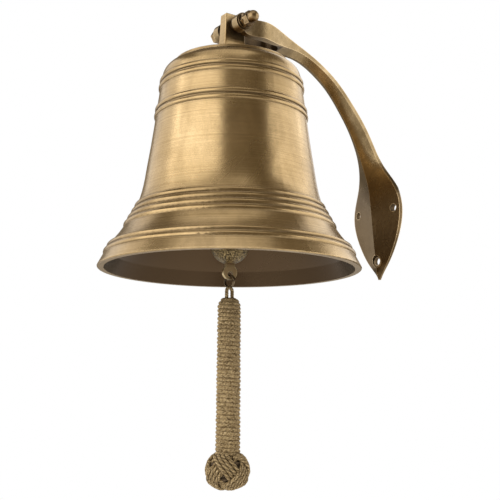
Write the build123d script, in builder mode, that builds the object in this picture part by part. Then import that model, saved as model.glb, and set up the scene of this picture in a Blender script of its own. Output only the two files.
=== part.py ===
from build123d import *
from math import acos, cos, degrees, radians, sin
import os

# Wall-mounted ship bell with a forked bracket, a clapper and a served rope lanyard.
# Millimetres. +Z is up and the wall is the plane y = 0, with the bell on its -Y side.
# The origin is on the wall, midway between the two upper screw holes of the bracket.

# Driving dimensions
mouth_r = 101.6  # 8 inch bell
reach = 155.0  # wall to bell axis
bell_y = -reach
mouth_z = -65.0  # height of the bell's mouth plane
pivot_h = 197.4  # pivot bolt above the mouth
pivot_z = mouth_z + pivot_h

# Bell casting, heights above the mouth
crown_h = 164.0  # flat top of the crown
crown_edge_r = 46.4
crown_wall = 4.5
rib_rise = 1.3  # how far a turned rib stands proud
rib_share = 0.84  # part of the rib pitch that a rib covers
stud_r = 5.0  # M10 stud of the hanger
stud_hole_r = 5.3

# Hanger: foot disc, lug and stud in one casting
foot_t = 2.2
foot_r = 46.2
lug_foot_h = crown_h + 1
lug_top_h = 207.6
lug_foot_t = 10.2  # across the fork
lug_top_t = 8.4
lug_foot_w = 21.2  # along the fork
lug_top_w = 17.2
lug_edge_r = 0.8
lug_rim_chamfer = 0.7
stud_length = 21.0

# Pivot hardware, M6
bolt_r = 3.0
bolt_head_t = 5.0
hex_across_flats = 10.0
washer_r = 6.25
washer_t = 1.6
washer_hole_r = 3.2
jam_nut_t = 3.5
cap_hex_t = 5.5
cap_total_t = 12.0
cap_dome_r = 4.75
bolt_in_cap = 7.0
lug_bore_r = 3.08  # running clearance on the bolt
ear_hole_r = 3.2
spacer_r = 5.0
spacer_gap = 0.3  # side clearance to the lug

# Bracket
fork_half_w = 17.3
slot_half_w = 10.1
slot_depth_y = 42.0  # from the bell axis to the root of the slot
slot_root_r = 8.0
ear_r = 7.3
screw_r = 3.2
screw_half_pitch = 22.5
lower_screw_z = -43.5
spot_face_r = 5.2
spot_face_t = 3.0  # metal left under the lower screw head

# Clapper train, heights above the mouth
collar_top_h = 149.2
collar_r = 8.0
collar_h = 10.4
eye_wire_r = 2.5
eye_ring_r = 8.0
eye_ring_h = 133.0
link_wire_r = 2.2
link_ring_r = 8.5
train_gap = 0.4  # play between hanging loops
ball_h = 20.2
ball_r = 15.4
ball_bore_r = 4.0
rod_r = 4.0
tab_h = -1.6
tab_r = 5.8
tab_t = 2.8
tab_neck_w = 7.4
tab_neck_h = 9.0
tab_hole_r = 2.1
tab_hole_h = -3.2
tab_turn = 80.0  # heading of the tab's face, from -Y towards +X

# Lanyard, heights above the mouth
ring_wire_r = 0.65
ring_mean_r = 4.6
ring_top_h = -3.95
ring_turn = 15.0  # heading of the ring's face
loop_turn = 105.0  # heading of the twine loop's face
loop_strand_r = 1.4
loop_half_w = 2.5
loop_top_h = -13.35
loop_foot_h = -24.0  # where the loop's legs end inside the grip
grip_top_h = -21.6
grip_neck_r = 4.6
grip_shoulder = 7.0
grip_top_r = 8.2
grip_foot_r = 8.7
core_r = 4.2
knot_r = 17.3
knot_half_h = 14.8
knot_h = -151.0
knot_top_turn = degrees(acos(grip_foot_r / knot_r))  # where the knot meets the grip
grip_foot_h = knot_h + knot_half_h * sin(radians(knot_top_turn))

pivot_axis = Axis((0, bell_y, pivot_z), (1, 0, 0))
bell_axis = Axis((0, bell_y, 0), (0, 0, 1))
bell_section = Plane(origin=(0, bell_y, mouth_z), x_dir=(1, 0, 0), z_dir=(0, -1, 0))
os.makedirs("parts", exist_ok=True)


def level(h):
    """Horizontal plane on the bell axis, h above the mouth."""
    return Plane(origin=(0, bell_y, mouth_z + h), x_dir=(1, 0, 0), z_dir=(0, 0, 1))


def bolt_plane(x):
    """Plane across the pivot bolt, x along it, facing +X."""
    return Plane(origin=(x, bell_y, pivot_z), x_dir=(0, 1, 0), z_dir=(1, 0, 0))


def facing(turn, h):
    """Upright plane on the bell axis, h above the mouth, facing a heading from -Y to +X."""
    a = radians(turn)
    return Plane(
        origin=(0, bell_y, mouth_z + h),
        x_dir=(cos(a), sin(a), 0),
        z_dir=(sin(a), -cos(a), 0),
    )


def wire_ring(plane, mean_r, wire_r):
    """A closed ring of round wire lying in a plane, centred on its origin."""
    section = Plane(origin=plane.origin, x_dir=plane.x_dir, z_dir=-plane.y_dir)
    with BuildSketch(section) as wire:
        with Locations((mean_r, 0)):
            Circle(wire_r)
    revolve(wire.sketch, axis=Axis(plane.origin, plane.z_dir))


def rib_group(grooves):
    """Half-round turned ribs between neighbouring grooves, listed upwards as (r, height)."""
    last = grooves[0]
    for low, high in zip(grooves[:-1], grooves[1:]):
        dr, dh = high[0] - low[0], high[1] - low[1]
        span = (dr**2 + dh**2) ** 0.5
        edge = (1 - rib_share) / 2
        start = (low[0] + edge * dr, low[1] + edge * dh)
        end = (high[0] - edge * dr, high[1] - edge * dh)
        top = (
            (low[0] + high[0]) / 2 + rib_rise * dh / span,
            (low[1] + high[1]) / 2 - rib_rise * dr / span,
        )
        Line(last, start)
        ThreePointArc(start, top, end)
        last = end
    Line(last, grooves[-1])


# Bell shell: outer profile with its four groups of turned ribs, and the plain inner profile
lip_ribs = [(97.1, 9.3), (94.7, 14.0), (91.9, 18.1)]
flare_ribs = [(82.4, 30.7), (79.8, 35.5), (76.9, 40.5), (74.3, 45.4), (71.9, 50.2)]
waist_ribs = [(60.0, 118.4), (59.4, 123.3), (58.8, 128.2)]
shoulder_ribs = [(57.0, 141.8), (56.4, 146.7), (55.6, 151.6)]

with BuildPart() as bell_shell:
    with BuildSketch(bell_section):
        with BuildLine():
            Line((96.6, 0), (100.7, 0))
            TangentArc((100.7, 0), (101.6, 0.9), tangent=(1, 0))
            Line((101.6, 0.9), lip_ribs[0])
            rib_group(lip_ribs)
            Spline(lip_ribs[-1], (86.7, 24.3), flare_ribs[0])
            rib_group(flare_ribs)
            Spline(flare_ribs[-1], (68.9, 60), (65.8, 78), (62.4, 100), waist_ribs[0])
            rib_group(waist_ribs)
            Line(waist_ribs[-1], shoulder_ribs[0])
            rib_group(shoulder_ribs)
            Spline(
                shoulder_ribs[-1],
                (53.4, 158.6),
                (crown_edge_r, crown_h - 0.6),
                tangents=((-0.12, 1), (-1, 0.28)),
            )
            Line((crown_edge_r, crown_h - 0.6), (crown_edge_r - 0.8, crown_h))
            Line((crown_edge_r - 0.8, crown_h), (stud_hole_r, crown_h))
            Line((stud_hole_r, crown_h), (stud_hole_r, crown_h - crown_wall))
            Line((stud_hole_r, crown_h - crown_wall), (40.0, crown_h - crown_wall))
            TangentArc((40.0, crown_h - crown_wall), (51.2, 147.0), tangent=(1, 0))
            Line((51.2, 147.0), (54.4, 124.0))
            ThreePointArc((54.4, 124.0), (59.0, 90.0), (66.8, 50.0))
            ThreePointArc((66.8, 50.0), (77.4, 29.8), (91.0, 12.0))
            Line((91.0, 12.0), (96.6, 0))
        make_face()
    revolve(axis=bell_axis)
bell_shell.part.label = "bell_shell"
export_step(bell_shell.part, "parts/bell_shell.step")

# Crown hanger: a turned foot disc on the crown, the lug that hangs on the bolt, and the stud
with BuildPart() as crown_hanger:
    with BuildSketch(level(crown_h)):
        Circle(foot_r)
    extrude(amount=foot_t)
    chamfer(crown_hanger.edges().group_by(Axis.Z)[-1], 0.5)
    with BuildSketch(level(crown_h)):
        Circle(stud_r)
    extrude(amount=-stud_length)
    chamfer(crown_hanger.edges().group_by(Axis.Z)[0], 0.8)
    with BuildSketch(level(lug_foot_h)):
        Rectangle(lug_foot_t, lug_foot_w)
    with BuildSketch(level(lug_top_h)):
        Rectangle(lug_top_t, lug_top_w)
    loft()
    lug_corners = crown_hanger.edges().filter_by(lambda e: e.length > 30 and e.center().Z > mouth_z + 180)
    fillet(lug_corners, lug_edge_r)
    chamfer(crown_hanger.faces().sort_by(Axis.Z)[-1].edges(), lug_rim_chamfer)
    with BuildSketch(bolt_plane(-lug_foot_t)):
        Circle(lug_bore_r)
    extrude(amount=2 * lug_foot_t, mode=Mode.SUBTRACT)
crown_hanger.part.label = "crown_hanger"
export_step(crown_hanger.part, "parts/crown_hanger.step")


def ring_piece(top_h, height, outer_r, inner_r):
    """A flat ring on the bell axis, its top at top_h."""
    with BuildSketch(level(top_h)) as ring:
        Circle(outer_r)
        Circle(inner_r, mode=Mode.SUBTRACT)
    extrude(ring.sketch, amount=-height)


# Cup washer and nut that clamp the hanger from inside the crown
crown_washer_t = 2.0
crown_washer_r = 12.0
crown_nut_t = 8.0
crown_nut_flats = 17.0
washer_top_h = crown_h - crown_wall
nut_top_h = washer_top_h - crown_washer_t

with BuildPart() as crown_washer:
    ring_piece(washer_top_h, crown_washer_t, crown_washer_r, stud_hole_r)
crown_washer.part.label = "crown_washer"
export_step(crown_washer.part, "parts/crown_washer.step")

with BuildPart() as crown_nut:
    with BuildSketch(level(nut_top_h)):
        RegularPolygon(crown_nut_flats / 2, 6, major_radius=False)
        Circle(stud_r + 0.05, mode=Mode.SUBTRACT)
    extrude(amount=-crown_nut_t)
crown_nut.part.label = "crown_nut"
export_step(crown_nut.part, "parts/crown_nut.step")

# Clapper eye: a collar screwed on the end of the stud, with a ring across the fork below it
with BuildPart() as clapper_eye:
    with BuildSketch(level(collar_top_h)):
        Circle(collar_r)
    extrude(amount=-collar_h)
    chamfer(clapper_eye.edges().group_by(Axis.Z)[0], 1.2)
    wire_ring(facing(0, eye_ring_h), eye_ring_r, eye_wire_r)
    with BuildSketch(level(collar_top_h)):
        Circle(stud_r + 0.05)
    extrude(amount=-(collar_top_h - crown_h + stud_length + 0.2), mode=Mode.SUBTRACT)
clapper_eye.part.label = "clapper_eye"
export_step(clapper_eye.part, "parts/clapper_eye.step")

# Clapper link: a closed ring along the swing plane, hung in the eye
link_pivot_h = eye_ring_h - eye_ring_r
link_h = link_pivot_h + eye_wire_r + train_gap + link_wire_r - link_ring_r
rod_pivot_h = link_h - link_ring_r

with BuildPart() as clapper_link:
    wire_ring(facing(90, link_h), link_ring_r, link_wire_r)
clapper_link.part.label = "clapper_link"
export_step(clapper_link.part, "parts/clapper_link.step")

# Clapper rod: top eye, round shank through the ball, and the flattened tab that takes the ring
rod_eye_h = rod_pivot_h + link_wire_r + train_gap + eye_wire_r - eye_ring_r
with BuildPart() as clapper_rod:
    wire_ring(facing(0, rod_eye_h), eye_ring_r, eye_wire_r)
    with BuildSketch(bell_section):
        with BuildLine():
            Polyline((0, rod_eye_h - eye_ring_r + 1), (2.6, rod_eye_h - eye_ring_r + 1))
            Line((2.6, rod_eye_h - eye_ring_r + 1), (rod_r, rod_eye_h - eye_ring_r - 6))
            Line((rod_r, rod_eye_h - eye_ring_r - 6), (rod_r, tab_h + 7))
            Line((rod_r, tab_h + 7), (0, tab_h + 7))
            Line((0, tab_h + 7), (0, rod_eye_h - eye_ring_r + 1))
        make_face()
    revolve(axis=bell_axis)
    with BuildSketch(facing(tab_turn, 0).offset(-tab_t / 2)):
        with Locations((0, tab_h)):
            Circle(tab_r)
        with Locations((0, tab_h + tab_neck_h / 2)):
            Rectangle(tab_neck_w, tab_neck_h)
    extrude(amount=tab_t)
    with BuildSketch(facing(tab_turn, 0).offset(-tab_t)):
        with Locations((0, tab_hole_h)):
            Circle(tab_hole_r)
    extrude(amount=2 * tab_t, mode=Mode.SUBTRACT)
clapper_rod.part.label = "clapper_rod"
export_step(clapper_rod.part, "parts/clapper_rod.step")

# Clapper ball: rough cast, bored for the rod
with BuildPart() as clapper_ball:
    with BuildSketch(bell_section):
        with BuildLine():
            CenterArc((0, ball_h), ball_r, -90, 180)
            Line((0, ball_h + ball_r), (0, ball_h - ball_r))
        make_face()
    revolve(axis=bell_axis)
    with BuildSketch(level(ball_h - ball_r - 1)):
        Circle(ball_bore_r)
    extrude(amount=2 * ball_r + 2, mode=Mode.SUBTRACT)
clapper_ball.part.label = "clapper_ball"
export_step(clapper_ball.part, "parts/clapper_ball.step")

# Bracket arm: sections across the arm, from the fork to the foot of the leaf plate.
# Each one is (y, z) of the back, half width, depth to the crest, rim thickness, and how far
# the flank between rim and crest bulges (+) or is scooped (-).
behind = 1.0  # the plate runs this far past the wall plane before its back is faced off
arm_stations = [
    ((-153.5, 139.8), 17.3, 14.2, 14.0, 0.0),
    ((-134.0, 137.3), 16.7, 14.5, 14.1, 0.0),
    ((-121.0, 135.5), 15.0, 13.6, 13.0, 0.0),
    ((-109.0, 133.0), 11.4, 11.6, 10.0, 0.0),
    ((-97.0, 130.0), 8.6, 9.1, 6.4, 0.0),
    ((-82.0, 124.7), 7.3, 7.0, 3.9, 0.2),
    ((-66.5, 116.6), 7.2, 6.9, 3.5, 0.4),
    ((-50.5, 104.7), 7.6, 7.9, 3.4, 0.5),
    ((-37.3, 90.4), 8.2, 9.3, 3.4, 0.8),
    ((-26.0, 76.0), 8.9, 10.2, 3.4, 1.0),
    ((-17.6, 62.0), 9.8, 10.5, 3.4, 1.1),
    ((-11.0, 47.5), 11.4, 10.4, 3.4, 0.9),
    ((-6.2, 36.0), 15.0, 10.7, 3.4, 0.2),
    ((-1.6, 24.0), 21.3, 11.3, 3.6, -0.6),
    ((behind, 11.2), 27.0, 10.8 + behind, 3.5 + behind, -0.9),
    ((behind, -1.0), 29.2, 9.5 + behind, 3.5 + behind, -0.8),
    ((behind, -17.0), 26.8, 8.1 + behind, 3.2 + behind, -0.6),
    ((behind, -33.0), 19.8, 6.3 + behind, 2.6 + behind, -0.4),
    ((behind, -47.0), 10.4, 4.6 + behind, 1.9 + behind, -0.2),
    ((behind, -59.4), 0.9, 2.4 + behind, 1.5 + behind, 0.0),
]


def arm_section(index):
    """Gabled section at a station, square to the arm there."""
    (y, z), half_w, depth, rim, bulge = arm_stations[index]
    before = arm_stations[max(index - 1, 0)][0]
    after = arm_stations[min(index + 1, len(arm_stations) - 1)][0]
    heading = (0, after[0] - before[0], after[1] - before[1])
    flank = (half_w / 2 + bulge * 0.6, (rim + depth) / 2 + bulge)
    with BuildSketch(Plane(origin=(0, y, z), x_dir=(1, 0, 0), z_dir=heading)) as section:
        with BuildLine():
            Line((-half_w, 0), (half_w, 0))
            Line((half_w, 0), (half_w, rim))
            Bezier((half_w, rim), flank, (0, depth))
            Bezier((0, depth), (-flank[0], flank[1]), (-half_w, rim))
            Line((-half_w, rim), (-half_w, 0))
        make_face()
    return section.sketch


with BuildPart() as wall_bracket:
    loft([arm_section(i) for i in range(len(arm_stations))])
    with BuildSketch(bolt_plane(-fork_half_w)):
        Circle(ear_r)
    extrude(amount=2 * fork_half_w)
    with BuildSketch(Plane.XY.offset(pivot_z - 40)) as slot:
        with Locations((0, bell_y)):
            Rectangle(2 * slot_half_w, 2 * slot_depth_y)
        fillet(slot.vertices().group_by(Axis.Y)[-1], slot_root_r)
    extrude(amount=80, mode=Mode.SUBTRACT)
    with BuildSketch(Plane.XZ.offset(-20)):
        Rectangle(200, 400)
    extrude(amount=20, mode=Mode.SUBTRACT)
    with BuildSketch(bolt_plane(-fork_half_w)):
        Circle(ear_hole_r)
    extrude(amount=2 * fork_half_w, mode=Mode.SUBTRACT)
    with BuildSketch(Plane.XZ):
        with Locations((screw_half_pitch, 0), (-screw_half_pitch, 0), (0, lower_screw_z)):
            Circle(screw_r)
    extrude(amount=40, mode=Mode.SUBTRACT)
    with BuildSketch(Plane.XZ.offset(spot_face_t)):
        with Locations((0, lower_screw_z)):
            Circle(spot_face_r)
    extrude(amount=20, mode=Mode.SUBTRACT)
wall_bracket.part.label = "wall_bracket"
export_step(wall_bracket.part, "parts/wall_bracket.step")

# Pivot bolt, head on the -X side
with BuildPart() as pivot_bolt:
    with BuildSketch(bolt_plane(-fork_half_w - washer_t)):
        RegularPolygon(hex_across_flats / 2, 6, major_radius=False)
    extrude(amount=-bolt_head_t)
    with BuildSketch(bolt_plane(-fork_half_w - washer_t)):
        Circle(bolt_r)
    extrude(amount=2 * (fork_half_w + washer_t) + jam_nut_t + bolt_in_cap)
    chamfer(pivot_bolt.edges().group_by(Axis.X)[-1], 0.6)
pivot_bolt.part.label = "pivot_bolt"
export_step(pivot_bolt.part, "parts/pivot_bolt.step")


def bolt_ring(start_x, thickness, outer_r):
    """A plain ring on the pivot bolt."""
    with BuildSketch(bolt_plane(start_x)) as ring:
        Circle(outer_r)
        Circle(washer_hole_r, mode=Mode.SUBTRACT)
    extrude(ring.sketch, amount=thickness)


with BuildPart() as head_washer:
    bolt_ring(-fork_half_w - washer_t, washer_t, washer_r)
head_washer.part.label = "head_washer"
export_step(head_washer.part, "parts/head_washer.step")

with BuildPart() as nut_washer:
    bolt_ring(fork_half_w, washer_t, washer_r)
nut_washer.part.label = "nut_washer"
export_step(nut_washer.part, "parts/nut_washer.step")

# Two spacer sleeves keep the lug in the middle of the fork
lug_taper = (lug_foot_t - lug_top_t) / (lug_top_h - lug_foot_h)
lug_t = lug_foot_t - lug_taper * (pivot_h - lug_foot_h)  # at the pivot
spacer_length = slot_half_w - lug_t / 2 - spacer_gap
with BuildPart() as spacer_left:
    bolt_ring(-slot_half_w, spacer_length, spacer_r)
spacer_left.part.label = "spacer_left"
export_step(spacer_left.part, "parts/spacer_left.step")

with BuildPart() as spacer_right:
    bolt_ring(slot_half_w - spacer_length, spacer_length, spacer_r)
spacer_right.part.label = "spacer_right"
export_step(spacer_right.part, "parts/spacer_right.step")

# Thin lock nut under the cap nut, turned a little from it
jam_nut_turn = 18.0
with BuildPart() as jam_nut:
    with BuildSketch(bolt_plane(fork_half_w + washer_t)):
        RegularPolygon(hex_across_flats / 2, 6, major_radius=False, rotation=jam_nut_turn)
        Circle(bolt_r + 0.05, mode=Mode.SUBTRACT)
    extrude(amount=jam_nut_t)
jam_nut.part.label = "jam_nut"
export_step(jam_nut.part, "parts/jam_nut.step")

# Domed cap nut on the +X side
cap_x = fork_half_w + washer_t + jam_nut_t
with BuildPart() as cap_nut:
    with BuildSketch(bolt_plane(cap_x)):
        RegularPolygon(hex_across_flats / 2, 6, major_radius=False)
    extrude(amount=cap_hex_t)
    with BuildSketch(Plane.XY.offset(pivot_z)):
        with BuildLine():
            Line((cap_x + cap_hex_t - 1, bell_y), (cap_x + cap_total_t, bell_y))
            ThreePointArc(
                (cap_x + cap_total_t, bell_y),
                (cap_x + cap_total_t - 1.5, bell_y + cap_dome_r * 0.72),
                (cap_x + cap_total_t - cap_dome_r, bell_y + cap_dome_r),
            )
            Line(
                (cap_x + cap_total_t - cap_dome_r, bell_y + cap_dome_r),
                (cap_x + cap_hex_t - 1, bell_y + cap_dome_r),
            )
            Line(
                (cap_x + cap_hex_t - 1, bell_y + cap_dome_r),
                (cap_x + cap_hex_t - 1, bell_y),
            )
        make_face()
    revolve(axis=pivot_axis)
    with BuildSketch(bolt_plane(cap_x)):
        Circle(bolt_r + 0.05)
    extrude(amount=bolt_in_cap + 1, mode=Mode.SUBTRACT)
cap_nut.part.label = "cap_nut"
export_step(cap_nut.part, "parts/cap_nut.step")

# Lanyard ring: a small wire ring through the clapper's tab
ring_h = ring_top_h - ring_mean_r
with BuildPart() as lanyard_ring:
    wire_ring(facing(ring_turn, ring_h), ring_mean_r, ring_wire_r)
lanyard_ring.part.label = "lanyard_ring"
export_step(lanyard_ring.part, "parts/lanyard_ring.step")


def eye_strand(mode):
    """The twine of the lanyard's eye: an arch over the ring with both legs in the grip."""
    loop = facing(loop_turn, 0)
    with BuildLine(loop) as path:
        Line((-loop_half_w, loop_foot_h), (-loop_half_w, loop_top_h))
        CenterArc((0, loop_top_h), loop_half_w, 180, -180)
        Line((loop_half_w, loop_top_h), (loop_half_w, loop_foot_h))
    start = loop.from_local_coords((-loop_half_w, loop_foot_h, 0))
    with BuildSketch(Plane(origin=start, x_dir=loop.x_dir, z_dir=(0, 0, 1))) as strand:
        Circle(loop_strand_r)
    sweep(strand.sketch, path=path.line, mode=mode)


# Lanyard eye
with BuildPart() as lanyard_eye:
    eye_strand(Mode.ADD)
lanyard_eye.part.label = "lanyard_eye"
export_step(lanyard_eye.part, "parts/lanyard_eye.step")

# Lanyard core: the straight rope inside the grip, from the eye's legs into the knot
core_foot_h = knot_h
core_top = (0, bell_y, mouth_z + loop_foot_h)
core_foot = (0, bell_y, mouth_z + core_foot_h)
with BuildPart() as lanyard_core:
    with BuildSketch(Plane(origin=core_top, x_dir=(1, 0, 0), z_dir=(0, 0, -1))):
        Circle(core_r)
    extrude(amount=loop_foot_h - core_foot_h)
lanyard_core.part.label = "lanyard_core"
export_step(lanyard_core.part, "parts/lanyard_core.step")

# Lanyard wrap: the twine served round the core, with a rounded shoulder closed on the eye
with BuildPart() as lanyard_wrap:
    with BuildSketch(bell_section):
        with BuildLine():
            Line((0, grip_top_h), (grip_neck_r, grip_top_h))
            TangentArc(
                (grip_top_r, grip_top_h - grip_shoulder),
                (grip_neck_r, grip_top_h),
                tangent=(0, 1),
            )
            Line((grip_top_r, grip_top_h - grip_shoulder), (grip_foot_r, grip_foot_h))
            Line((grip_foot_r, grip_foot_h), (core_r, grip_foot_h))
            Line((core_r, grip_foot_h), (core_r, loop_foot_h))
            Line((core_r, loop_foot_h), (0, loop_foot_h))
            Line((0, loop_foot_h), (0, grip_top_h))
        make_face()
    revolve(axis=bell_axis)
    eye_strand(Mode.SUBTRACT)
lanyard_wrap.part.label = "lanyard_wrap"
export_step(lanyard_wrap.part, "parts/lanyard_wrap.step")

# Lanyard knot: the round end knot, with the wrap standing on its flat top
with BuildPart() as lanyard_knot:
    with BuildSketch(bell_section):
        with BuildLine():
            EllipticalCenterArc(
                (0, knot_h), knot_r, knot_half_h, -90, arc_size=90 + knot_top_turn
            )
            Line((grip_foot_r, grip_foot_h), (core_r, grip_foot_h))
            Line((core_r, grip_foot_h), (core_r, core_foot_h))
            Line((core_r, core_foot_h), (0, core_foot_h))
            Line((0, core_foot_h), (0, knot_h - knot_half_h))
        make_face()
    revolve(axis=bell_axis)
lanyard_knot.part.label = "lanyard_knot"
export_step(lanyard_knot.part, "parts/lanyard_knot.step")
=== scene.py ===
import bpy
import bmesh
import math
from mathutils import Matrix, Vector, noise


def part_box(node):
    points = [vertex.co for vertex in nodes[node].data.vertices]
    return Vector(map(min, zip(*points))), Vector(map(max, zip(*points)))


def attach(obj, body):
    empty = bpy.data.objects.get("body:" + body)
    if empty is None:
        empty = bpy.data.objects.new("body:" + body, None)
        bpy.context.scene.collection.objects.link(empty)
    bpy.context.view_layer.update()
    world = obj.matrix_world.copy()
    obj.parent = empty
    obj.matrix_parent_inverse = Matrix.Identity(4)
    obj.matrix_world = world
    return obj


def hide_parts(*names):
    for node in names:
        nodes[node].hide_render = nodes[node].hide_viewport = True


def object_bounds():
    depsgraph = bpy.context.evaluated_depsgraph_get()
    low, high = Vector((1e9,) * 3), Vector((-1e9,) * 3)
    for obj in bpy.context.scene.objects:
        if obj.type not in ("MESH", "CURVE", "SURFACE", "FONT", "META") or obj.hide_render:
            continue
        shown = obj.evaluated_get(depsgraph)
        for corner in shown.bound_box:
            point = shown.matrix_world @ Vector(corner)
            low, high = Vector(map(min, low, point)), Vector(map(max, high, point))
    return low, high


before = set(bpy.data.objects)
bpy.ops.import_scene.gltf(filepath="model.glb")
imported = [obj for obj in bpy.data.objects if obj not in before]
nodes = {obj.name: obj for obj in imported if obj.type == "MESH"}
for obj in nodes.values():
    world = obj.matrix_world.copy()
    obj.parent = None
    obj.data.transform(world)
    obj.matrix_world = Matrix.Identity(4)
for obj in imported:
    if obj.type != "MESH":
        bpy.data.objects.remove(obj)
cad_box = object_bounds()
TAU = math.tau

# Frame facts, in metres: +Z is up and -Y leads away from the wall
BELL_Y = -0.155
MOUTH_Z = -0.065
SLOT_HALF = 0.0101  # half the width of the slot in the bracket's fork
SLOT_ROOT_Y = -0.113  # where that slot ends in the arm


def above_mouth(h_mm):
    """Height in the frame of a point h_mm above the bell's mouth."""
    return MOUTH_Z + h_mm / 1000


# ---------------------------------------------------------------- camera
# Fitted to the photo: in front of the bell, to its right, below its mouth and looking up
CAMERA_AT = (0.6189, -0.5569, -0.1750)
FOCAL_MM = 69.52
SENSOR_MM = 36.0
azimuth = math.radians(57.0)
yaw = math.radians(1.21)
pitch = math.radians(9.70)
roll = math.radians(0.42)

turn = Matrix.Rotation(azimuth, 3, "Z")
forward = Vector((math.sin(yaw) * math.cos(pitch), math.cos(yaw) * math.cos(pitch), math.sin(pitch)))
across = Vector((math.cos(yaw), -math.sin(yaw), 0))
upward = across.cross(forward)
right = turn @ (across * math.cos(roll) + upward * math.sin(roll))
up = turn @ (upward * math.cos(roll) - across * math.sin(roll))
back = -(turn @ forward)

cam_data = bpy.data.cameras.new("camera")
cam_data.sensor_width = SENSOR_MM
cam_data.lens = FOCAL_MM
cam_data.clip_start = 0.05
cam_data.clip_end = 50.0
camera = bpy.data.objects.new("camera", cam_data)
bpy.context.scene.collection.objects.link(camera)
place = Matrix((right, up, back)).transposed().to_4x4()
place.translation = Vector(CAMERA_AT)
camera.matrix_world = place
bpy.context.scene.camera = camera
bpy.context.scene.view_settings.view_transform = "Standard"


# ---------------------------------------------------------------- material helpers
# Sockets of a Mix node that is set to colours, which share their names with its other sockets
MIX_COLOUR_A = 6
MIX_COLOUR_B = 7
MIX_COLOUR_OUT = 2


class Nodes:
    """Short calls for building one material's node tree."""

    def __init__(self, name):
        self.mat = bpy.data.materials.new(name)
        self.mat.use_nodes = True
        self.tree = self.mat.node_tree
        self.shader = self.tree.nodes["Principled BSDF"]

    def add(self, kind, **sockets):
        """A new node, with its named input sockets set or linked."""
        node = self.tree.nodes.new(kind)
        for key, value in sockets.items():
            self.feed(node, key, value)
        return node

    def feed(self, node, key, value):
        """Links or sets an input socket, which key gives by its name or its number."""
        socket = node.inputs[key]
        if isinstance(value, bpy.types.NodeSocket):
            self.tree.links.new(value, socket)
        else:
            socket.default_value = value

    def point(self, scale=(1, 1, 1)):
        """Object coordinates, scaled."""
        coords = self.add("ShaderNodeTexCoord")
        mapping = self.add("ShaderNodeMapping", Vector=coords.outputs["Object"])
        mapping.inputs["Scale"].default_value = scale
        return mapping.outputs["Vector"]

    def noise(self, vector, scale=1.0, detail=4.0, roughness=0.55, distortion=0.0):
        node = self.add(
            "ShaderNodeTexNoise",
            Vector=vector,
            Scale=scale,
            Detail=detail,
            Roughness=roughness,
            Distortion=distortion,
        )
        return node.outputs["Fac"]

    def ramp(self, fac, stops):
        """A colour ramp through (position, colour) stops."""
        node = self.add("ShaderNodeValToRGB", Fac=fac)
        elements = node.color_ramp.elements
        while len(elements) < len(stops):
            elements.new(0.5)
        for element, (at, colour) in zip(elements, stops):
            element.position = at
            element.color = (*colour, 1.0)
        return node.outputs["Color"]

    def span(self, value, low, high, to_low, to_high):
        """Maps low..high to to_low..to_high, and holds the ends beyond them."""
        node = self.add("ShaderNodeMapRange", Value=value)
        node.inputs["From Min"].default_value = low
        node.inputs["From Max"].default_value = high
        node.inputs["To Min"].default_value = to_low
        node.inputs["To Max"].default_value = to_high
        return node.outputs["Result"]

    def mask(self, value, start, full, strength=1.0):
        """0 where value is at start, rising to strength where it is at full."""
        return self.span(value, start, full, 0.0, strength)

    def math(self, kind, a, b):
        node = self.add("ShaderNodeMath")
        node.operation = kind
        self.feed(node, 0, a)
        self.feed(node, 1, b)
        return node.outputs[0]

    def vector_math(self, kind, a, b):
        """A Vector Math node; its result is on Vector or Value, by its kind."""
        node = self.add("ShaderNodeVectorMath")
        node.operation = kind
        self.feed(node, 0, a)
        self.feed(node, 1, b)
        return node.outputs

    def mix(self, fac, a, b):
        """Colour a, turning to b as fac goes from 0 to 1."""
        node = self.tree.nodes.new("ShaderNodeMix")
        node.data_type = "RGBA"
        self.feed(node, 0, fac)
        for index, value in ((MIX_COLOUR_A, a), (MIX_COLOUR_B, b)):
            if isinstance(value, tuple):
                value = (*value, 1.0)
            self.feed(node, index, value)
        return node.outputs[MIX_COLOUR_OUT]

    def corner_shade_and_grime(self, reach, clear=0.95, depth=0.5):
        """1 in corners and grooves, 0 where the surface is at least as open as clear: a mask for painted
        shade, with patina too on brass.
        """
        node = self.add("ShaderNodeAmbientOcclusion", Distance=reach)
        node.samples = 8
        return self.span(node.outputs["AO"], clear - depth, clear, 1.0, 0.0)

    def edge_wear_and_highlight(self, radius):
        """1 where the surface turns sharply within radius, 0 where it is flat: worn edges that also
        carry a painted highlight.
        """
        bevel = self.add("ShaderNodeBevel", Radius=radius)
        bevel.samples = 6
        true_normal = self.add("ShaderNodeNewGeometry").outputs["Normal"]
        likeness = self.vector_math("DOT_PRODUCT", bevel.outputs["Normal"], true_normal)
        return self.mask(likeness["Value"], 0.985, 0.90)

    def inside(self):
        """1 on surfaces that face the bell's axis, 0 on its outside."""
        spoke = self.vector_math("SUBTRACT", self.point((1, 1, 0)), (0.0, BELL_Y, 0.0))
        normal = self.add("ShaderNodeNewGeometry").outputs["Normal"]
        facing = self.vector_math("DOT_PRODUCT", spoke["Vector"], normal)
        return self.span(facing["Value"], -0.006, -0.001, 1.0, 0.0)

    def bump(self, height, distance, strength=1.0):
        node = self.add("ShaderNodeBump", Height=height)
        node.inputs["Strength"].default_value = strength
        node.inputs["Distance"].default_value = distance
        return node.outputs["Normal"]

    def finish(self, colour, rough, normal, metallic):
        """Feeds the shader, with a thin lacquer on metal, and gives the material."""
        self.feed(self.shader, "Base Color", colour)
        self.feed(self.shader, "Roughness", rough)
        self.feed(self.shader, "Normal", normal)
        self.shader.inputs["Metallic"].default_value = metallic
        self.shader.inputs["Coat Weight"].default_value = 0.22 * metallic
        self.shader.inputs["Coat Roughness"].default_value = 0.24
        return self.mat


def shaded(colour, factors):
    """A colour with each channel multiplied by its factor."""
    return tuple(channel * factor for channel, factor in zip(colour, factors))
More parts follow.
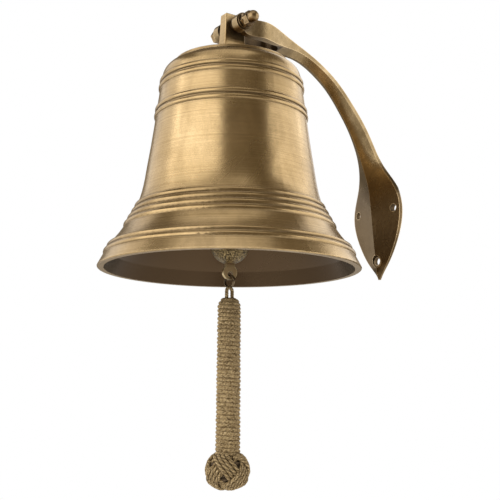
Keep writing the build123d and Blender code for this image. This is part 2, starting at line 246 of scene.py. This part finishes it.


# ---------------------------------------------------------------- brass
# Worn edges, brightened also as a painted highlight along them
EDGE_WEAR_AND_HIGHLIGHT_RADIUS = 0.0011
EDGE_WEAR_AND_HIGHLIGHT_BRIGHTEN = 1.25
# Painted shade for the inside of the bell
BELL_INSIDE_SHADE = (0.082, 0.050, 0.024)
LINE_BUMP = 0.00006  # height of the lines or fine grain on brass that has no cast pits
PLATE_SHADE_FADE = 0.022  # height over which the bracket goes from painted shade to bright


def lathe_marks(n, tone, light, dark, line_scale):
    """Adds streaks and fine turned lines to a tone; gives the tone and the lines."""
    streaks = n.noise(n.point((34, 34, 9)), detail=5.0, roughness=0.65, distortion=0.8)
    tone = n.mix(n.mask(streaks, 0.46, 0.68, 0.55), tone, dark)
    lines = n.noise(n.point((6, 6, line_scale)), detail=5.0, roughness=0.7)
    tone = n.mix(n.mask(lines, 0.3, 0.72, 0.42), tone, dark)
    tone = n.mix(n.mask(lines, 0.66, 0.40, 0.30), tone, light)
    return tone, lines


def shade_bracket(n, tone, dark, deep_shade_and_patina, shade_below):
    """Paints shade on the bracket by position: over its wall plate up to the given height, and in the
    slot of its fork.
    """
    parts = n.add("ShaderNodeSeparateXYZ", Vector=n.point()).outputs
    low = n.mask(parts["Z"], shade_below + PLATE_SHADE_FADE, shade_below, 0.85)
    off_centre = n.math("ABSOLUTE", parts["X"], 0.0)
    between = n.mask(off_centre, SLOT_HALF + 0.0006, SLOT_HALF + 0.0002, 0.9)
    # Painted shade in the slot between the fork's ears
    slot = n.math("MULTIPLY", between, n.mask(parts["Y"], SLOT_ROOT_Y + 0.002, SLOT_ROOT_Y))
    tone = n.mix(slot, tone, deep_shade_and_patina)
    kept = n.math("SUBTRACT", 1.0, n.edge_wear_and_highlight(EDGE_WEAR_AND_HIGHLIGHT_RADIUS))
    # Painted shade on the wall plate, kept off the edges
    return n.mix(n.math("MULTIPLY", low, kept), tone, shaded(dark, (0.62, 0.56, 0.50)))


def brass(
    name,
    light,
    mid,
    dark,
    rough,
    line_scale=None,
    blotch=28.0,
    pit=0.0,
    hollow_shade=False,
    reach=0.006,
    shade_below=None,
    crisp=0.23,
):
    """Antiqued brass: patina blotches, patina and painted shade in corners, worn edges with a painted
    highlight, painted shade on the bracket and inside the bell, and lathe lines or cast pits.
    """
    n = Nodes(name)
    plain = n.point()
    blotches = n.noise(plain, blotch, detail=6.0, roughness=0.62, distortion=0.6)
    tone = n.ramp(blotches, ((0.5 - crisp, dark), (0.5, mid), (0.5 + crisp, light)))
    speck = n.noise(plain, 900.0, detail=3.0, roughness=0.6)
    tone = n.mix(n.mask(speck, 0.35, 0.75, 0.35), tone, dark)
    if line_scale:
        tone, lines = lathe_marks(n, tone, light, dark, line_scale)
    else:
        lines = n.noise(plain, 420.0, detail=8.0, roughness=0.7)
    # Worn edges, with a painted highlight along them
    worn_and_lit = tuple(min(channel * EDGE_WEAR_AND_HIGHLIGHT_BRIGHTEN, 1.0) for channel in light)
    tone = n.mix(n.math("MULTIPLY", n.edge_wear_and_highlight(EDGE_WEAR_AND_HIGHLIGHT_RADIUS), 0.9), tone, worn_and_lit)
    # Patina and painted shade in corners and grooves
    patina_and_shade = n.corner_shade_and_grime(reach, clear=0.98, depth=0.30)
    deep_shade_and_patina = shaded(dark, (0.24, 0.19, 0.15))
    tone = n.mix(n.math("MULTIPLY", patina_and_shade, 0.85), tone, deep_shade_and_patina)
    if shade_below is not None:
        tone = shade_bracket(n, tone, dark, deep_shade_and_patina, shade_below)
    # Painted shade: surfaces that face the bell's axis are turned near-black
    if hollow_shade:
        tone = n.mix(n.inside(), tone, BELL_INSIDE_SHADE)
    polish = n.span(blotches, 0.2, 0.8, rough + 0.08, rough - 0.06)
    roughness = n.math("ADD", polish, n.math("MULTIPLY", patina_and_shade, 0.25))
    if pit:
        pits = n.noise(plain, 330.0, detail=4.0, roughness=0.55)
        height = n.math("ADD", n.math("MULTIPLY", lines, 0.4), pits)
        relief = n.bump(height, pit)
    else:
        relief = n.bump(lines, LINE_BUMP, strength=0.6)
    return n.finish(tone, roughness, relief, metallic=1.0)


LIGHT = (0.72, 0.53, 0.29)
MID = (0.51, 0.355, 0.165)
DARK = (0.23, 0.148, 0.056)
bell_brass = brass("bell_brass", LIGHT, MID, DARK, 0.25, line_scale=2600.0, blotch=16.0, hollow_shade=True)
lug_brass = brass("lug_brass", LIGHT, MID, DARK, 0.28, line_scale=900.0, blotch=40.0)
arm_brass = brass(
    "arm_brass",
    light=(0.66, 0.50, 0.29),
    mid=(0.38, 0.275, 0.14),
    dark=(0.17, 0.115, 0.05),
    rough=0.26,
    blotch=38.0,
    pit=0.00012,
    reach=0.020,
    shade_below=0.020,
)
# A darker copy of the brass: painted shade for the pivot hardware and the small parts under the bell
nut_brass_shaded = brass(
    "nut_brass_shaded",
    light=(0.56, 0.41, 0.22),
    mid=(0.33, 0.225, 0.11),
    dark=(0.15, 0.095, 0.042),
    rough=0.28,
    blotch=160.0,
)
# Painted light: the rod's brass is much brighter, to light it in the bell's shadow
rod_brass_painted_light = brass(
    "rod_brass_painted_light",
    light=(0.95, 0.76, 0.48),
    mid=(0.86, 0.66, 0.38),
    dark=(0.55, 0.39, 0.19),
    rough=0.36,
    line_scale=1500.0,
    blotch=60.0,
)
# Painted light: the ball's colours are lightened to light it in the bell's shadow
ball_brass_painted_light = brass(
    "ball_brass_painted_light",
    light=(0.46, 0.34, 0.155),
    mid=(0.115, 0.080, 0.034),
    dark=(0.03, 0.021, 0.009),
    rough=0.36,
    blotch=1000.0,
    pit=0.0016,
    crisp=0.07,
)
wire_brass = brass(
    "wire_brass",
    light=(0.30, 0.22, 0.13),
    mid=(0.15, 0.105, 0.06),
    dark=(0.06, 0.042, 0.028),
    rough=0.36,
    blotch=300.0,
)


# ---------------------------------------------------------------- jute
def jute(name, light, mid, dark):
    """Laid jute twine: fibre streaks, flecks, and painted shade in the hollows between turns and plies,
    where the mesh's attribute says.
    """
    n = Nodes(name)
    streak = n.noise(n.point((1, 1, 2.2)), 800.0, detail=6.0, roughness=0.72, distortion=0.8)
    tone = n.ramp(streak, ((0.38, dark), (0.5, mid), (0.62, light)))
    patch = n.noise(n.point(), 130.0, detail=4.0, roughness=0.6)
    tone = n.mix(n.mask(patch, 0.3, 0.75, 0.45), tone, dark)
    fleck = n.noise(n.point((1, 1, 1.6)), 430.0, detail=4.0, roughness=0.68, distortion=1.2)
    tone = n.mix(n.mask(fleck, 0.51, 0.60, 0.85), tone, shaded(dark, (0.42, 0.38, 0.30)))
    shade_attribute = n.add("ShaderNodeAttribute")
    shade_attribute.attribute_name = "hollow_shade"
    shade_between_turns = n.mask(shade_attribute.outputs["Fac"], 0.30, 1.0, 0.92)
    # Painted shade between the turns and plies of twine, and in tight corners
    gap_shade = n.math("MAXIMUM", shade_between_turns, n.math("MULTIPLY", n.corner_shade_and_grime(0.0022), 0.7))
    tone = n.mix(gap_shade, tone, shaded(dark, (0.30, 0.26, 0.20)))
    return n.finish(tone, n.span(streak, 0.2, 0.8, 0.95, 0.8), n.bump(streak, 0.00025), metallic=0.0)


twine = jute("jute_twine", (1.0, 0.80, 0.48), (0.56, 0.40, 0.185), (0.22, 0.145, 0.062))
# A shaded copy of the twine: painted shade for the core inside the knot
twine_shaded_copy = jute("jute_twine_shaded", (0.30, 0.215, 0.125), (0.17, 0.115, 0.062), (0.08, 0.052, 0.028))

# ---------------------------------------------------------------- materials of the CAD parts
finishes = (
    (arm_brass, ("wall_bracket",)),
    (bell_brass, ("bell_shell",)),
    (lug_brass, ("crown_hanger",)),
    (nut_brass_shaded, ("pivot_bolt", "head_washer", "nut_washer", "jam_nut", "cap_nut")),
    (nut_brass_shaded, ("spacer_left", "spacer_right", "crown_washer", "crown_nut", "clapper_eye")),
    (wire_brass, ("clapper_link",)),
    (rod_brass_painted_light, ("clapper_rod",)),
    (ball_brass_painted_light, ("clapper_ball",)),
)
for material, node_names in finishes:
    for node_name in node_names:
        for material_slot in nodes[node_name].material_slots:
            material_slot.material = material


# ---------------------------------------------------------------- mesh helpers
FULL_SHADE_DIP = 0.16  # a dip of this share of a twine's radius gets the full painted shade


def mesh_piece(name, vertices, faces, material, smooth=True, hollow_shade=None):
    """A mesh object; its last argument gives each vertex's painted shade, the value of the attribute
    that jute reads.
    """
    data = bpy.data.meshes.new(name)
    data.from_pydata([tuple(v) for v in vertices], [], faces)
    data.update()
    shape = bmesh.new()
    shape.from_mesh(data)
    bmesh.ops.recalc_face_normals(shape, faces=shape.faces)
    shape.to_mesh(data)
    shape.free()
    if smooth:
        data.polygons.foreach_set("use_smooth", [True] * len(data.polygons))
    data.materials.append(material)
    if hollow_shade:
        data.attributes.new("hollow_shade", "FLOAT", "POINT").data.foreach_set("value", hollow_shade)
    piece = bpy.data.objects.new(name, data)
    bpy.context.scene.collection.objects.link(piece)
    return piece


def tube(path, radius_at, sides, closed, vertices, faces, hollow_shade=None, full_r=None):
    """Adds a tube along a path to a mesh; radius_at(i, angle) is its radius at a point."""
    count = len(path)
    first = len(vertices)
    tangents = []
    for i in range(count):
        before = path[(i - 1) % count] if closed else path[max(i - 1, 0)]
        after = path[(i + 1) % count] if closed else path[min(i + 1, count - 1)]
        tangents.append((after - before).normalized())
    normal = tangents[0].orthogonal().normalized()
    normals = []
    for tangent in tangents:
        normal = (normal - tangent * normal.dot(tangent)).normalized()
        normals.append(normal.copy())
    # A closed path ends with its normal turned; the tube takes that up evenly along its length
    slip = 0.0
    if closed:
        last = (normal - tangents[0] * normal.dot(tangents[0])).normalized()
        slip = math.atan2(last.cross(normals[0]).dot(tangents[0]), last.dot(normals[0]))
    for i in range(count):
        side = tangents[i].cross(normals[i])
        for j in range(sides):
            angle = TAU * j / sides
            around = angle + slip * i / count
            ray = normals[i] * math.cos(around) + side * math.sin(around)
            reach = radius_at(i, angle)
            vertices.append(path[i] + ray * reach)
            # Painted shade for each vertex, by how far it dips below the twine's full radius
            if hollow_shade is not None:
                hollow_shade.append(min(max((1 - reach / full_r) / FULL_SHADE_DIP, 0.0), 1.0))
    for i in range(count if closed else count - 1):
        for j in range(sides):
            a = first + i * sides + j
            b = first + i * sides + (j + 1) % sides
            c = first + ((i + 1) % count) * sides + (j + 1) % sides
            d = first + ((i + 1) % count) * sides + j
            faces.append((a, b, c, d))
    if not closed:
        faces.append(tuple(first + j for j in range(sides)))
        faces.append(tuple(first + (count - 1) * sides + j for j in reversed(range(sides))))


def twisted(radius, plies, twist):
    """Radius of a laid twine of a few plies, by step along it and angle round it."""
    return lambda i, angle: radius * (0.80 + 0.20 * abs(math.cos(plies / 2 * (angle + twist * i))))


TWINE_PLIES = 3

# ---------------------------------------------------------------- lanyard rope: its route
rope_points = (
    (0.0, -0.155, -0.0866),  # top of the grip, under the twine eye
    (0.0, -0.155, -0.1870),  # about 6 diameters further down
    (0.0, -0.155, -0.2160),  # middle of the knot
)
# From the top of the grip to the middle of the knot, scaled from the photo by the assumed mouth
ROPE_LENGTH = 0.129

rope_curve = bpy.data.curves.new("rope_route", "CURVE")
rope_curve.dimensions = "3D"
rope_spline = rope_curve.splines.new("NURBS")
rope_spline.points.add(len(rope_points) - 1)
for control, at in zip(rope_spline.points, rope_points):
    control.co = (*at, 1.0)
rope_spline.order_u = 3
rope_spline.use_endpoint_u = True
rope_spline.resolution_u = 24
route = bpy.data.objects.new("rope_route", rope_curve)
bpy.context.scene.collection.objects.link(route)
bpy.context.view_layer.update()
read = bpy.data.meshes.new_from_object(route)
rope_path = [v.co.copy() for v in read.vertices]
bpy.data.objects.remove(route)
bpy.data.meshes.remove(read)


def along(path, at):
    """The point at a fraction of a path's length."""
    total = sum((b - a).length for a, b in zip(path, path[1:]))
    goal = total * at
    for a, b in zip(path, path[1:]):
        step = (b - a).length
        if goal <= step or b is path[-1]:
            return a.lerp(b, min(goal / step, 1.0))
        goal -= step


# ---------------------------------------------------------------- lanyard rope: its grip
NECK_R, SHOULDER_R, FOOT_R = 0.0046, 0.0082, 0.0087
SHOULDER_LENGTH = 0.007
SHOULDER_CURVE = 0.8
TAPER_LENGTH = 0.11  # below the shoulder, over which the radius grows to FOOT_R
LEAST_R = 0.002
TURN_PITCH = 0.00305
TURN_WANDER = 0.10
WANDER_ROUND, WANDER_DOWN = 0.7, 260  # how quickly the wander changes round and down the grip
TURN_PROUD, TURN_SUNK = 0.26, 0.20  # of the pitch
PLY_WAVES, PLY_SLANT, PLY_SHIFT = 10, 1.3, 0.7
PLY_PROUD = 0.00062
TIGHT_PROUD = 0.00034
TIGHT_ROUND, TIGHT_DOWN = 0.6, 3.7  # how quickly the tightness changes round a turn and by turn
RINGS, AROUND = 500, 120


def grip_radius(depth):
    """Mean radius of the served grip at a depth in metres below its top."""
    if depth < SHOULDER_LENGTH:
        rise = math.sin(math.pi / 2 * (depth / SHOULDER_LENGTH) ** SHOULDER_CURVE)
        return NECK_R + (SHOULDER_R - NECK_R) * rise
    return SHOULDER_R + (FOOT_R - SHOULDER_R) * (depth - SHOULDER_LENGTH) / TAPER_LENGTH


def served_surface(depth, angle):
    """Radius of the grip, with turns of plied twine side by side, and how much painted shade it gets
    there, 0 to 1.
    """
    x, y = math.cos(angle), math.sin(angle)
    wander = noise.noise(Vector((x * WANDER_ROUND, y * WANDER_ROUND, depth * WANDER_DOWN)))
    turn_at = depth / TURN_PITCH - angle / TAU + wander * TURN_WANDER
    number = math.floor(turn_at)
    across_twine = (turn_at - number) * 2 - 1
    arch = math.sqrt(max(1 - across_twine ** 2, 0.0))
    ply = abs(math.sin(angle * PLY_WAVES + across_twine * PLY_SLANT + number * PLY_SHIFT + wander))
    tight = noise.noise(Vector((number * TIGHT_DOWN, x * TIGHT_ROUND, y * TIGHT_ROUND)))
    proud = TURN_PITCH * (TURN_PROUD * arch - TURN_SUNK) + PLY_PROUD * ply * arch + TIGHT_PROUD * tight
    # Painted shade between the turns and between the plies
    gap_shade = 1 - min(arch * 1.4, 1.0) * (0.15 + 0.85 * min(ply * 1.5, 1.0))
    return max(grip_radius(depth) + proud, LEAST_R), gap_shade


grip_vertices, grip_faces, grip_hollow_shade = [], [], []
for i in range(RINGS + 1):
    depth = ROPE_LENGTH * i / RINGS
    centre = along(rope_path, i / RINGS)
    for j in range(AROUND):
        angle = TAU * j / AROUND
        reach, gap_shade = served_surface(depth, angle)
        grip_hollow_shade.append(gap_shade)
        grip_vertices.append(centre + Vector((math.cos(angle), math.sin(angle), 0)) * reach)
for i in range(RINGS):
    for j in range(AROUND):
        a, b = i * AROUND + j, i * AROUND + (j + 1) % AROUND
        grip_faces.append((a, b, b + AROUND, a + AROUND))
grip_faces.append(tuple(range(AROUND)))
grip_faces.append(tuple(RINGS * AROUND + j for j in reversed(range(AROUND))))
grip = mesh_piece("lanyard_grip", grip_vertices, grip_faces, twine, hollow_shade=grip_hollow_shade)

# ---------------------------------------------------------------- twine eye
# One loop of twine: up one leg from inside the grip, over a half circle and down the other leg
EYE_TURN = math.radians(105)
EYE_HALF, EYE_TOP, EYE_FOOT = 0.0031, -13.35, -24.0
EYE_TWINE_R = 0.00145
LEG_STEPS, BEND_STEPS = 24, 32
eye_across = Vector((math.cos(EYE_TURN), math.sin(EYE_TURN), 0))
eye_foot_z = above_mouth(EYE_FOOT)
eye_centre_z = above_mouth(EYE_TOP) - EYE_HALF
eye_path = []
for i in range(LEG_STEPS):
    z = eye_foot_z + (eye_centre_z - eye_foot_z) * i / LEG_STEPS
    eye_path.append(Vector((0, BELL_Y, z)) - eye_across * EYE_HALF)
for i in range(BEND_STEPS + 1):
    angle = math.pi - math.pi * i / BEND_STEPS
    height = Vector((0, BELL_Y, eye_centre_z + EYE_HALF * math.sin(angle)))
    eye_path.append(height + eye_across * (EYE_HALF * math.cos(angle)))
for i in range(LEG_STEPS):
    z = eye_centre_z + (eye_foot_z - eye_centre_z) * (i + 1) / LEG_STEPS
    eye_path.append(Vector((0, BELL_Y, z)) + eye_across * EYE_HALF)
eye_vertices, eye_faces, eye_hollow_shade = [], [], []
eye_twine = twisted(EYE_TWINE_R, TWINE_PLIES, 0.32)
tube(eye_path, eye_twine, 20, False, eye_vertices, eye_faces, eye_hollow_shade, EYE_TWINE_R)
eye = mesh_piece("lanyard_twine_eye", eye_vertices, eye_faces, twine, hollow_shade=eye_hollow_shade)

# ---------------------------------------------------------------- woven end knot
# A turk's head: one closed line round a flattened ball, followed by a few strands side by side
KNOT_R, KNOT_HALF = 0.0151, 0.0128
LEADS, BIGHTS, STRANDS = 3, 4, 4
STRAND_R = 0.00150
STRAND_SPACING = 1.9  # in strand radii
STRAND_WOBBLE = 0.00022
STRAND_CROWN = 0.0006  # how far the band's edges lie below its middle
STRAND_LAY = 0.30
KNOT_STEPS = 720
KNOT_AHEAD = 0.004  # step along the line that gives its direction
REACH = math.radians(63)  # latitude of the bights
OVER = 0.00125  # how far a strand rises over another, and sinks under it
knot_centre = Vector(rope_points[-1])
knot_vertices, knot_faces, knot_hollow_shade = [], [], []


def knot_point(t, lift):
    """The point of the knot's line at t, 0 to a full turn, lifted off the ball."""
    lon = LEADS * t
    lat = REACH * math.cos(BIGHTS * t)
    spread = Vector((
        math.cos(lat) * math.cos(lon) * (KNOT_R + lift),
        math.cos(lat) * math.sin(lon) * (KNOT_R + lift),
        math.sin(lat) * (KNOT_HALF + lift),
    ))
    return knot_centre + spread


def knot_outward(p):
    """The direction out of the ball at a point."""
    d = p - knot_centre
    return Vector((d.x / KNOT_R ** 2, d.y / KNOT_R ** 2, d.z / KNOT_HALF ** 2)).normalized()


for strand in range(STRANDS):
    offset = (strand - (STRANDS - 1) / 2) * STRAND_R * STRAND_SPACING
    crown = abs(offset) / (STRAND_R * STRANDS) * STRAND_CROWN
    strand_path = []
    for i in range(KNOT_STEPS):
        t = TAU * i / KNOT_STEPS
        lift = OVER * math.sin(2 * BIGHTS * t)
        here = knot_point(t, lift)
        ahead = knot_point(t + KNOT_AHEAD, lift)
        normal = knot_outward(here)
        side = (ahead - here).cross(normal).normalized()
        wobble = STRAND_WOBBLE * noise.noise(Vector((i * 0.03, strand * 5.0, 1.0)))
        strand_path.append(here + side * (offset + wobble) - normal * crown)
    strand_twine = twisted(STRAND_R, TWINE_PLIES, STRAND_LAY)
    tube(strand_path, strand_twine, 18, True, knot_vertices, knot_faces, knot_hollow_shade, STRAND_R)
knot = mesh_piece("lanyard_woven_knot", knot_vertices, knot_faces, twine, hollow_shade=knot_hollow_shade)

# The coiled core that shows through the knot's openings, in the shaded copy of the twine
CORE_TURNS = 9
CORE_STEPS = CORE_TURNS * 48
CORE_TWINE_R = 0.0019
CORE_SIDE, CORE_END = KNOT_R - 0.0024, KNOT_HALF - 0.0016
core_path = []
for i in range(CORE_STEPS + 1):
    along_core = i / CORE_STEPS
    lat = math.radians(-86 + 172 * along_core)
    lon = TAU * CORE_TURNS * along_core
    core_path.append(knot_centre + Vector((
        math.cos(lat) * math.cos(lon) * CORE_SIDE,
        math.cos(lat) * math.sin(lon) * CORE_SIDE,
        math.sin(lat) * CORE_END,
    )))
core_vertices, core_faces = [], []
tube(core_path, twisted(CORE_TWINE_R, TWINE_PLIES, STRAND_LAY), 12, False, core_vertices, core_faces)
knot_core = mesh_piece("lanyard_knot_core", core_vertices, core_faces, twine_shaded_copy)

# ---------------------------------------------------------------- split ring
RING_R, RING_WIRE = 0.0046, 0.00056
RING_FACE = math.radians(15)
RING_TURNS = 2
RING_STEPS = 160
RING_CROSSING = 16  # how sharply the wire steps from one turn to the other
low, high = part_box("lanyard_ring")
ring_centre = (Vector(low) + Vector(high)) / 2
ring_axis = Vector((math.sin(RING_FACE), -math.cos(RING_FACE), 0))
ring_side = Vector((math.cos(RING_FACE), math.sin(RING_FACE), 0))
ring_path = []
for i in range(RING_STEPS + 1):
    angle = RING_TURNS * TAU * i / RING_STEPS
    shift = RING_WIRE * math.tanh((i / RING_STEPS - 0.5) * RING_CROSSING)
    sideways = ring_side * (RING_R * math.cos(angle))
    upwards = Vector((0, 0, RING_R * math.sin(angle)))
    ring_path.append(ring_centre + sideways + upwards + ring_axis * shift)
ring_vertices, ring_faces = [], []
tube(ring_path, lambda i, angle: RING_WIRE, 12, False, ring_vertices, ring_faces)
ring = mesh_piece("lanyard_split_ring", ring_vertices, ring_faces, wire_brass)

# ---------------------------------------------------------------- what rides where
for piece in (grip, eye, knot, knot_core):
    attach(piece, "lanyard")
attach(ring, "ring")
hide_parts("lanyard_ring")
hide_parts("lanyard_wrap", "lanyard_core")
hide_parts("lanyard_eye")
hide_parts("lanyard_knot")
[along(rope_path, i / 60) for i in range(61)]

# ---------------------------------------------------------------- studio
LIGHTS_AIM = Vector((0, BELL_Y * 0.85, 0.02))
ROOM_LIGHT = (0.205, 0.168, 0.118, 1.0)
WHITE = (1.0, 1.0, 1.0, 1.0)


def softbox(name, bearing, tilt, distance, width, height, watts):
    """An area light that faces the bell, at angles in degrees.

    bearing is from the camera's side toward the photo's right, and tilt is up from level.
    """
    heading = Vector((back.x, back.y, 0)).normalized()
    heading = Matrix.Rotation(math.radians(bearing), 3, "Z") @ heading
    spot = heading * math.cos(math.radians(tilt)) + Vector((0, 0, math.sin(math.radians(tilt))))
    data = bpy.data.lights.new(name, "AREA")
    data.shape = "RECTANGLE"
    data.size, data.size_y = width, height
    data.energy = watts
    lamp = bpy.data.objects.new(name, data)
    bpy.context.scene.collection.objects.link(lamp)
    lamp.location = LIGHTS_AIM + spot * distance
    lamp.rotation_mode = "QUATERNION"
    lamp.rotation_quaternion = (-spot).to_track_quat("-Z", "Y")


softbox("key_left", bearing=-52, tilt=14, distance=1.5, width=2.1, height=1.7, watts=19.0)
softbox("fill_right", bearing=91, tilt=8, distance=1.4, width=1.75, height=1.6, watts=11.0)
softbox("left_wide", bearing=-114, tilt=14, distance=1.5, width=1.6, height=1.7, watts=7.5)
softbox("right_wide", bearing=143, tilt=24, distance=1.5, width=1.2, height=1.4, watts=6.0)
softbox("top", bearing=-20, tilt=68, distance=1.5, width=1.8, height=1.2, watts=4.8)

# The camera sees a white room; the object is lit by a dim, warm one
world = bpy.data.worlds.new("studio")
bpy.context.scene.world = world
world.use_nodes = True
tree = world.node_tree
room = tree.nodes["Background"]
room.inputs["Color"].default_value = ROOM_LIGHT
backdrop = tree.nodes.new("ShaderNodeBackground")
backdrop.inputs["Color"].default_value = WHITE
backdrop.inputs["Strength"].default_value = 1.0
ray = tree.nodes.new("ShaderNodeLightPath")
blend = tree.nodes.new("ShaderNodeMixShader")
tree.links.new(ray.outputs["Is Camera Ray"], blend.inputs[0])
tree.links.new(room.outputs[0], blend.inputs[1])
tree.links.new(backdrop.outputs[0], blend.inputs[2])
tree.links.new(blend.outputs[0], tree.nodes["World Output"].inputs["Surface"])

# ---------------------------------------------------------------- floor
FLOOR_DROP = 1.2  # below the knot, so that the photo's view does not see it
FLOOR_HALF = 6.0
FLOOR_GLOW = 0.42
floor_z = cad_box[0].z - FLOOR_DROP
pale = Nodes("pale_floor")
grain = pale.noise(pale.point(), 60.0, detail=3.0, roughness=0.5)
paleness = pale.ramp(grain, ((0.2, (0.86, 0.86, 0.86)), (0.8, (0.90, 0.90, 0.90))))
pale.finish(paleness, 0.9, pale.bump(grain, 0.0002), metallic=0.0)
pale.shader.inputs["Emission Color"].default_value = WHITE
pale.shader.inputs["Emission Strength"].default_value = FLOOR_GLOW
quarters = ((-1, -1), (1, -1), (1, 1), (-1, 1))
corners = [Vector((x * FLOOR_HALF, y * FLOOR_HALF, floor_z)) for x, y in quarters]
floor = mesh_piece("floor", corners, [(0, 1, 2, 3)], pale.mat, smooth=False)
